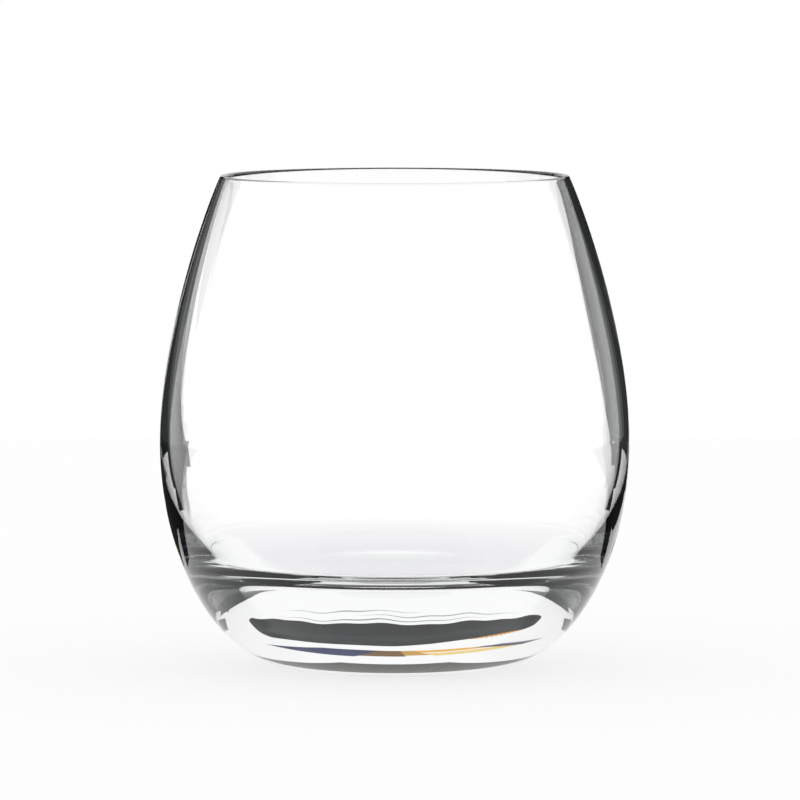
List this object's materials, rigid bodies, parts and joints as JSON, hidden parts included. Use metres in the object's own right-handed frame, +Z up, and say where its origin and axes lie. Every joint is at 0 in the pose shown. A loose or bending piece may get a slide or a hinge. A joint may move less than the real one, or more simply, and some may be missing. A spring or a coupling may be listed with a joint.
{
  "type": "double old fashioned glass",
  "caption": "Stemless double old fashioned glass in clear glass: a rounded bowl on a heavy base that draws in to a thin rim, for a drink served over ice.",
  "frame": {"origin": "centre of the foot ring, on the plane that the glass stands on", "axes": "+Z up along the axis of the bowl; the glass is round, so X and Y may point any way"},
  "size_m": [0.095, 0.095, 0.0996],
  "materials": {
    "clear_glass": "clear and colourless, smooth all over, with a fire-polished rim"
  },
  "bodies": {
    "root": {"tumbler_glass": "clear_glass"}
  },
  "joints": []
}
